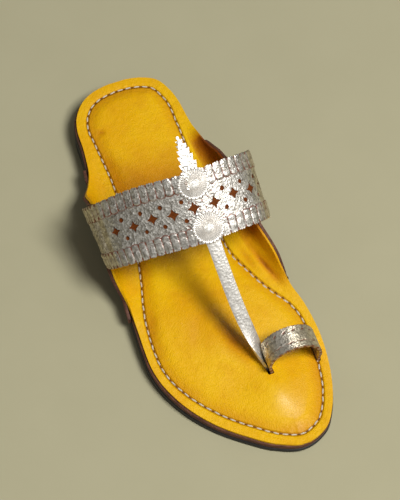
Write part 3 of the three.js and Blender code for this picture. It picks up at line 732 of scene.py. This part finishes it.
def makeEar(which, node):
    # brown leather that backs a wing
    obj, u, v = newSheet(node + "_leather", 90, 34)
    rear, front = ears[which]
    setPlaces(obj, earFace(which, rear + (front - rear) * (1 - u if which == "inner" else u), v))
    applyModifier(obj, "SMOOTH", factor=0.5, iterations=4)
    applyModifier(obj, "SOLIDIFY", thickness=ears["thickness"] * mm, offset=1, material_offset_rim=1)
    roundEdges(obj, ears["corner"], 2, 60)
    finishPiece(obj, [brownLeather, rustCore], 40)
    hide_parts(node)


makeEar("inner", "ear_medial")
makeEar("outer", "ear_lateral")
print("ears made")

band = {
    "across": [54.5, 52.4, 45.2, 36.2, 25.6, 14.2, 2.8, -9, -21, -32, -38.8, -41.2, -40.6],
    "along": [-18, -13.2, -8.6, -5.4, -1.8, 1.6, 3.6, 3.2, 1.4, -1.4, -6, -11.2, -16.2],
    "up": [41, 49, 58, 64.6, 71, 76, 78.8, 79, 77.4, 73, 65.6, 56, 44.4],
    "tilt": [20, 23, 27, 30, 33, 36, 38, 38, 36, 33, 30, 29, 30],
    "width": [36.6, 37.4, 38.6, 39.6, 40, 40, 40, 40, 40, 39.6, 39.2, 38.8, 38.4],
    "spread": [2.7, 2, 1, 0, 0, 0, 0, 0, 0, 0, 0, 0, 0],
    "half": 20.0, "thickness": 1.6, "backing": 1.0, "foil": 0.6, "panelHalf": 12.6,
    "giltOuter": 17, "giltInner": 3.45, "giltFade": 1.5, "ribs": 1.15, "ribsEnd": 11, "rosettesAt": -1.4,
}
petals = {
    "pitch": 4.9, "endPitch": 2.9, "outerEnd": 14, "innerEnd": 10, "innerEdge": 11.5, "bulge": 1.7,
    "scallop": 0.8, "pinking": 0.22, "pinkPitch": 1.5, "rib": 0.02, "pressed": 0.14, "raised": 0.35,
}
stars = {
    "spacing": 12.2, "count": 9, "radius": 4.0, "hollow": 0.56, "waist": 0.9, "dot": 1.3, "dotOffset": 5.4,
    "middle": 3.0, "slitLength": 1.5,
}
rosetteShape = {"lift": 1.1, "dome": 0.45, "ray": 0.17, "petal": 0.3, "leather": 0.8}
rosettes = [
    {"name": "rosette_front", "s": 0.4, "v": -12.3, "radius": 9.2, "petals": 26, "rays": 42, "turn": 0.1},
    {"name": "rosette_rear", "s": -0.9, "v": 13.4, "radius": 9.0, "petals": 25, "rays": 40, "turn": 0.5},
]


def bandPoint(share, place):
    # outer face of the band; place is -0.5 at its front edge and 0.5 at its rear edge
    keys = ("across", "along", "up", "tilt", "width", "spread")
    row = {key: throughRows(band[key], share) for key in keys}
    tilt, offset = np.radians(row["tilt"]), row["width"] * place
    return np.stack([row["across"] + row["spread"] * place, row["along"] - offset * np.cos(tilt),
                     row["up"] + offset * np.sin(tilt)], axis=-1)


shares = np.linspace(0, 1, 600)
midLine = bandPoint(shares, np.zeros(600))
arc = np.concatenate([[0], np.cumsum(np.linalg.norm(np.diff(midLine, axis=0), axis=1))])
bandLength = float(arc[-1])
starMiddle = float(np.interp(stars["middle"], midLine[::-1, 0], arc[::-1]))
rosetteMiddle = float(np.interp(band["rosettesAt"], midLine[::-1, 0], arc[::-1]))
foilLift = band["backing"] - band["thickness"] + band["foil"]
print("band length", round(bandLength, 1))


def onBand(s, v, lift):
    # s millimetres along the band from its outer end, v across it (front is minus), lift above its leather
    share, place, small = np.interp(s, arc, shares), v / (2 * band["half"]), 0.004
    run = bandPoint(share + small, place) - bandPoint(share - small, place)
    cross = bandPoint(share, place + small) - bandPoint(share, place - small)
    beyond = np.maximum(s - bandLength, 0) + np.minimum(s, 0)
    out = unit(np.cross(run, cross))
    return bandPoint(share, place) + out * np.asarray(lift)[..., None] + unit(run) * beyond[..., None]


def giltAt(s, v):
    # gold tint at both ends of the band, and faintly on its outer half's edges
    lastStar = starMiddle + band["giltInner"] * stars["spacing"]
    ends = easeIn(-s, -band["giltOuter"], -band["giltOuter"] + band["giltFade"])
    ends = ends + easeIn(s, lastStar, lastStar + band["giltFade"])
    return np.clip(ends + 0.3 * easeIn(np.abs(v), 14, 20) * easeIn(-s, -60, -20), 0, 1)


def petalBeat(s):
    # counts petals along the band; they are closer together at both ends
    fine = np.linspace(-2, bandLength + 2, 800)
    middle = easeIn(fine, petals["outerEnd"] - 5, petals["outerEnd"] + 5)
    middle *= 1 - easeIn(fine, bandLength - petals["innerEnd"] - 5, bandLength - petals["innerEnd"] + 5)
    pitch = petals["endPitch"] + (petals["pitch"] - petals["endPitch"]) * middle
    return np.interp(s, fine, np.cumsum((fine[1] - fine[0]) / pitch))


def makeBacking():
    obj, u, v = newSheet("band_backing", 150, 30)
    s, across = u * bandLength, (v - 0.5) * 2 * (band["half"] - 0.6)
    setPlaces(obj, onBand(s, across, np.full(len(s), band["backing"] - band["thickness"])))
    applyModifier(obj, "SOLIDIFY", thickness=band["backing"] * mm, offset=-1)
    finishPiece(obj, [rustCore])
    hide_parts("upper")


def makeEdge(name, sign, roundness, height, finish):
    # a row of embossed foil shells, scalloped against the panel and pinked along the band's edge
    obj, u, v = newSheet(name, 560, 32)
    s, t = u * bandLength, v if sign > 0 else 1 - v
    beat = petalBeat(s)
    a = 2 * (beat - np.round(beat))                        # -1 to 1 over one shell
    arch = np.sqrt(np.clip(1 - 0.97 * a**2, 0, 1))
    pinked = petals["pinking"] * np.cos(2 * np.pi * s / petals["pinkPitch"])
    outer = band["half"] + petals["scallop"] * (arch - 0.8) + pinked
    inner = petals["innerEdge"] - petals["bulge"] * arch
    across = sign * (inner + (outer - inner) * t)
    body = easeIn(t, 0, 0.16) * (1 - 0.75 * easeIn(t, 1 - roundness, 1))
    uneven = 0.8 + 0.3 * np.sin(2.3 * np.round(beat) + sign) * np.cos(1.1 * np.round(beat))
    dome = height * (0.25 + 0.75 * arch) * body * uneven
    fan = petals["rib"] * np.cos(3 * np.pi * a) * easeIn(t, 0.2, 0.5) * (1 - easeIn(np.abs(a), 0.7, 0.95))
    line = np.exp(-((t - 0.34 - 0.16 * (1 - arch)) / 0.035) ** 2)      # pressed arc inside each shell
    lift = foilLift + petals["raised"] * easeIn(-t, -0.3, 0) + dome + fan - petals["pressed"] * line
    setPlaces(obj, onBand(s, across, lift))
    missing = 0.5 + 0.5 * np.sin(1.7 * beat + 1.3 * sign)
    notch = easeIn(np.abs(a) + 0.22 * easeIn(-s, -18, -14), 0.72, 0.9)
    notch = notch * np.maximum(easeIn(t, 0.8, 0.92), easeIn(-t, -0.2, -0.1))
    outline = easeIn(-t, -0.075, -0.045) * (0.45 + 0.55 * missing)
    # brown core between the shells: painted shade in the grooves between them
    between = 0.85 * easeIn(np.abs(a), 0.8, 0.93) * easeIn(-t, -1, -0.3)
    bare = np.clip(notch + outline + between + 0.22 * line, 0, 1)
    setAttributes(obj, core=bare, gilt=giltAt(s, across))
    thicken(obj, band["foil"])
    finishPiece(obj, [finish, rustCore], 55)


def newPunch(radius, sides):
    selectNone()
    bpy.ops.mesh.primitive_cylinder_add(vertices=sides, radius=radius * mm, depth=10 * mm)
    punch = bpy.context.object
    for finish in (foil, rustCore):
        punch.data.materials.append(finish)
    for face in punch.data.polygons:
        face.material_index = 1                            # a punched wall shows the core
    return punch


def starPunch():
    # four-pointed punch: a round one drawn in between its tips
    punch = newPunch(stars["radius"], 16)
    turn = np.degrees(np.arctan2(*getPlaces(punch)[:, 1::-1].T)) % 90
    between, halfway = np.minimum(turn, 90 - turn) > 5, np.abs(turn - 45) < 5
    for chosen, share in ((between, stars["hollow"]), (halfway, stars["waist"])):
        selectWhere(punch, chosen)
        bpy.ops.transform.resize(value=(share, share, 1))
        bpy.ops.object.mode_set(mode="OBJECT")
    return punch


def punchCopy(punch, x, y, grow):
    copy = ownCopy(punch)
    places = getPlaces(copy) * [grow, grow, 1] + [x * mm, y * mm, 0]
    copy.data.vertices.foreach_set("co", places.ravel())
    return copy


def makeStarPanel():
    # the middle strip, punched flat and then laid round the band
    obj, u, v = newSheet("band_star_panel", 430, 64)
    flat = np.column_stack([u * bandLength, (v - 0.5) * 2 * band["panelHalf"], 0 * u])
    obj.data.vertices.foreach_set("co", (flat * mm).ravel())
    obj.data.materials.append(foil)
    obj.data.materials.append(rustCore)
    thicken(obj, band["foil"])
    star, dot, punched = starPunch(), newPunch(stars["dot"], 14), []
    half = (stars["count"] - 1) // 2
    for k in range(-half, half + 1):
        middle = starMiddle + k * stars["spacing"]
        punched.append(punchCopy(star, middle, 0.4 * (-1) ** k, 1 - 0.03 * abs(k)))
        if k < half:
            for sign in (-1, 1):
                between = middle + stars["spacing"] / 2 + chance.normal(0, 0.25)
                grow = 1 + chance.normal(0, 0.06)
                punched.append(punchCopy(dot, between, sign * stars["dotOffset"], grow))
    punches = joinAll(punched, "punches")
    applyModifier(obj, "BOOLEAN", object=punches, operation="DIFFERENCE", solver="EXACT",
                  material_mode="TRANSFER")
    for used in (star, dot, punches):
        bpy.data.objects.remove(used)
    s, across, depth = (getPlaces(obj) / mm).T
    ribbed = 0.16 * np.sin(2 * np.pi * (s + 0.4 * np.sin(across / 3)) / band["ribs"])
    ribbed = ribbed * easeIn(-s, -band["ribsEnd"] - 3, -band["ribsEnd"])
    setPlaces(obj, onBand(s, across, foilLift + depth + ribbed))
    bare = np.zeros(len(s))
    for rosette in rosettes:                               # short slits that radiate round each rosette
        dx, dy = s - rosetteMiddle - rosette["s"], across - rosette["v"]
        beyond, angle = np.hypot(dx, dy) - rosette["radius"] - 0.9, np.arctan2(dy, dx) * 9 / np.pi
        radial = easeIn(-np.abs(angle - np.round(angle)), -0.13, -0.06)
        length = easeIn(beyond, 0, 0.2) * (1 - easeIn(beyond, stars["slitLength"], 1.8))
        bare = np.maximum(bare, radial * length)
    setAttributes(obj, core=0.85 * bare, gilt=giltAt(s, across))
    finishPiece(obj, [foil, rustCore], 35)


makeBacking()
makeStarPanel()
makeEdge("band_front_edge", -1, 0.45, 0.78, shellFoil)
makeEdge("band_rear_edge", 1, 0.12, 0.58, foil)
print("band made")


def makeRosette(rosette):
    # a round of foil leather pressed into fine rays, its edge cut to small petals
    obj, u, v = newSheet(rosette["name"], rosette["petals"] * 14, 26)
    angle, r = 2 * np.pi * u, 1 - v
    beat = rosette["petals"] * u + rosette["turn"]
    a = 2 * (beat - np.round(beat))
    arch = np.sqrt(np.clip(1 - 0.95 * a**2, 0, 1))
    reach = rosette["radius"] * (1 + 0.09 * (arch - 0.75))
    s = rosetteMiddle + rosette["s"] + reach * r * np.cos(angle)
    across = rosette["v"] + reach * r * np.sin(angle)
    rays = np.cos(rosette["rays"] * angle) * easeIn(r, 0.12, 0.4) * (1 - easeIn(r, 0.8, 0.88))
    petal = arch * easeIn(r, 0.82, 0.9) * (1 - 0.8 * easeIn(r, 0.94, 1))
    swirl = 0.07 * np.sin(3 * angle + 6 * r) * easeIn(r, 0.05, 0.2) * (1 - easeIn(r, 0.3, 0.6))
    lift = rosetteShape["lift"] + rosetteShape["dome"] * (1 - r**2) + swirl
    lift = lift + rosetteShape["ray"] * rays + rosetteShape["petal"] * petal
    setPlaces(obj, onBand(s, across, lift))
    # brown core in the notches between petals and faint dark lines between the rays: painted shade in these
    # hollows
    between = easeIn(np.abs(a), 0.7, 0.95) * easeIn(r, 0.88, 0.96)
    setAttributes(obj, core=0.9 * between + 0.3 * easeIn(-rays, 0.4, 0.95), gilt=0 * s)
    mergeSeam(obj, turnOut=False)
    thicken(obj, rosetteShape["leather"])
    finishPiece(obj, [brightFoil, rustCore], 60)


leaf = {
    "across": [-0.7, -0.5, -0.2, 0.2, 0.8], "along": [-4.6, -12.5, -20, -25.6, -30],
    "up": [86.4, 92.4, 97, 99.8, 101.6], "width": [9.4, 9.6, 7.2, 4.2, 1.0], "turn": [0, 0, 0, 0, 0],
    "thickness": 1.3, "teeth": 8, "tooth": 1.6, "base": 0.1,
}
centreStrap = {
    "across": [-2.2, -2.2, -2.2, -3.2, -4.6, -6.3, -8.4, -10.5, -12.2, -12.8],
    "along": [8, 14.6, 20.5, 31, 43, 53.5, 62, 69.5, 74.6, 76.4],
    "up": [75.8, 70.6, 65.6, 56.4, 45.4, 35.6, 27.4, 20.6, 14.8, 10],
    "width": [9, 8.4, 8, 7.8, 7.8, 7.8, 7.6, 7.2, 7, 7], "turn": [0, 0, 0, 0, 0, 4, 24, 58, 82, 90],
    "thickness": 1.6,
}
toeRing = {
    "across": [-14.2, -13.8, -12.8, -14.6, -20.6, -28.5, -36.2, -41.2, -42.8, -42.4, -42],
    "along": [76.2, 76.2, 76, 75.8, 75.8, 76, 76.2, 76.4, 76.6, 76.8, 76.8],
    "up": [10.2, 15, 21, 27.6, 33, 34.8, 32.2, 26, 19.6, 14.6, 10],
    "width": [12.5, 13, 13.8, 14, 14, 14, 14, 14, 13.4, 12.6, 12], "turn": [90] * 11,
    "thickness": 1.6, "length": 78, "wave": 3.4, "slit": 5.2,
}


def strapFrame(rows, share):
    points = [np.stack([throughRows(rows[key], s) for key in ("across", "along", "up")], axis=-1)
              for s in (share, np.minimum(share + 0.005, 1), np.maximum(share - 0.005, 0))]
    run, turn = unit(points[1] - points[2]), np.radians(throughRows(rows["turn"], share))
    width = np.stack([np.cos(turn), np.sin(turn), 0 * turn], axis=-1)
    width = unit(width - (width * run).sum(-1, keepdims=True) * run)
    return points[0], width, unit(np.cross(run, width))


def makeStrap(name, rows, across, along, shape, finish, edge):
    # leather that follows its rows; shape gives each vertex its place across, lift, bare core and gilt
    obj, u, v = newSheet(name, across, along)
    point, width, face = strapFrame(rows, v)
    if face[len(face) // 2] @ np.array([0, 0.3, 1]) < 0:
        face = -face
    place, lift, bare, gilt = shape(u - 0.5, v, throughRows(rows["width"], v))
    setPlaces(obj, point + width * place[:, None] + face * (rows["thickness"] / 2 + lift)[:, None])
    setAttributes(obj, core=bare, gilt=gilt)
    if np.array(obj.data.polygons[len(obj.data.polygons) // 2].normal) @ face[len(face) // 2] < 0:
        selectWhere(obj, [True] * len(obj.data.vertices))
        bpy.ops.mesh.flip_normals()
        bpy.ops.object.mode_set(mode="OBJECT")
    thicken(obj, rows["thickness"])
    finishPiece(obj, [finish, edge], 50)


def leafShape(across, v, wide):
    # saw teeth that point to the tip, a low mid rib, and slanted slits at the base
    teeth = leaf["teeth"] * v
    tooth = leaf["tooth"] * (teeth - np.floor(teeth) - 0.45)
    tooth = tooth * easeIn(v, 0.06, 0.14) * (1 - easeIn(v, 0.9, 1))
    place = across * (wide + 2 * tooth)
    rib = 0.08 * np.exp(-(place / 0.8) ** 2) - 0.15 * (2 * np.abs(across)) ** 4
    slant = (place + 10 * v) / 2.6
    slit = easeIn(-np.abs(slant - np.round(slant)), -0.2, -0.1) * np.exp(-((v - leaf["base"]) / 0.035) ** 2)
    return place, rib - 0.2 * slit, np.clip(slit, 0, 1), 0.5 * np.exp(-((v - leaf["base"]) / 0.05) ** 2)


def centreShape(across, v, wide):
    return across * wide, -0.3 * (2 * np.abs(across)) ** 4, 0 * v, 0 * v


def ringShape(across, v, wide):
    # a wavy cut near the front edge, short slanted slits near the rear one, rubbed edges, and less gilt
    # near the top of the ring's arch as a painted highlight
    s, place = v * toeRing["length"], across * wide
    wave = 2.6 + 0.55 * np.abs(np.sin(np.pi * s / toeRing["wave"]))
    cut = np.exp(-((place - wave) / 0.34) ** 2) * (0.65 + 0.35 * np.sin(0.9 * s))
    slant = (s + 0.9 * place) / toeRing["slit"]
    slit = np.exp(-((place + 4.3) / 0.75) ** 2) * easeIn(-np.abs(slant - np.round(slant)), -0.17, -0.1)
    rubbed = easeIn(np.abs(across), 0.455, 0.49) * (0.6 + 0.4 * np.sin(1.3 * s + 4 * across))
    foot = easeIn(-v, -0.16, -0.06) * (0.4 + 0.5 * np.sin(1.9 * s) * np.sin(2.3 * place))
    edge = 0.12 * np.cos(2 * np.pi * s / 1.9) * easeIn(np.abs(across), 0.4, 0.5)
    # less gilt near the top of the ring's arch: a painted highlight
    gilt = 1 - 0.62 * np.exp(-((v - 0.42) / 0.08) ** 2)
    return place * (1 + edge / 7), -0.3 * cut - 0.3 * slit, np.clip(cut + slit + rubbed + foot, 0, 1), gilt


for rosette in rosettes:
    makeRosette(rosette)
makeStrap("leaf_tail", leaf, 30, 200, leafShape, leafFoil, rustCore)
makeStrap("centre_strap", centreStrap, 16, 160, centreShape, strapFoil, rustCore)
makeStrap("toe_ring", toeRing, 56, 320, ringShape, ringFoil, ringEdge)
print("straps made")

studio = {
    "key": {"from": (-0.27, 0.38, 0.9), "distance": 2.3, "size": 0.7, "watts": 48, "onlyShine": False},
    "window": {"from": (-0.44, 0.42, 0.75), "distance": 1.6, "size": 1.3, "watts": 11, "onlyShine": True},
    "glint": {"from": (-0.28, -0.21, 0.94), "distance": 1.6, "size": 0.25, "watts": 7, "onlyShine": True},
    "fill": {"from": (0.8, 0.6, 0.9), "distance": 1.8, "size": 1.2, "watts": 3.2, "onlyShine": True},
    "air": {"colour": "#DCDAD4", "strength": 0.2},
}
lens = {"place": (218.0, 589.0, 1152.6), "aim": (-1.0, 2.0, 27.0), "focal": 163, "sensor": 36}


def layPaper():
    selectNone()
    bpy.ops.mesh.primitive_plane_add(size=6, location=(0, 0, 0))
    paper = bpy.context.object
    paper.name = "studio_paper"
    paper.data.materials.append(matPaper())


def hangLight(name, spec):
    # a square soft box; one that only shines is seen in the foil and the wax, and casts no shadow
    aim = Vector((0, 0, 0.03))
    place = aim + Vector(spec["from"]).normalized() * spec["distance"]
    bpy.ops.object.light_add(type="AREA", location=place)
    light = bpy.context.object
    light.name = name
    light.data.size = spec["size"]
    light.data.energy = spec["watts"]
    light.visible_diffuse = not spec["onlyShine"]
    light.rotation_euler = (aim - light.location).to_track_quat("-Z", "Y").to_euler()


layPaper()
for name in ("key", "window", "glint", "fill"):
    hangLight(name, studio[name])
world = bpy.data.worlds.new("studio_air")
bpy.context.scene.world = world
world.use_nodes = True
air = world.node_tree.nodes["Background"].inputs
air["Color"].default_value = linear(studio["air"]["colour"])
air["Strength"].default_value = studio["air"]["strength"]

cameraPlace = Vector((np.array(lens["place"]) + frameShift) * mm)
bpy.ops.object.camera_add(location=cameraPlace)
camera = bpy.context.object
camera.data.lens = lens["focal"]
camera.data.sensor_width = lens["sensor"]
look = Vector((np.array(lens["aim"]) + frameShift) * mm) - cameraPlace
camera.rotation_euler = look.to_track_quat("-Z", "Y").to_euler()
bpy.context.scene.camera = camera
bpy.context.scene.view_settings.view_transform = "Standard"
print("lights and camera placed")
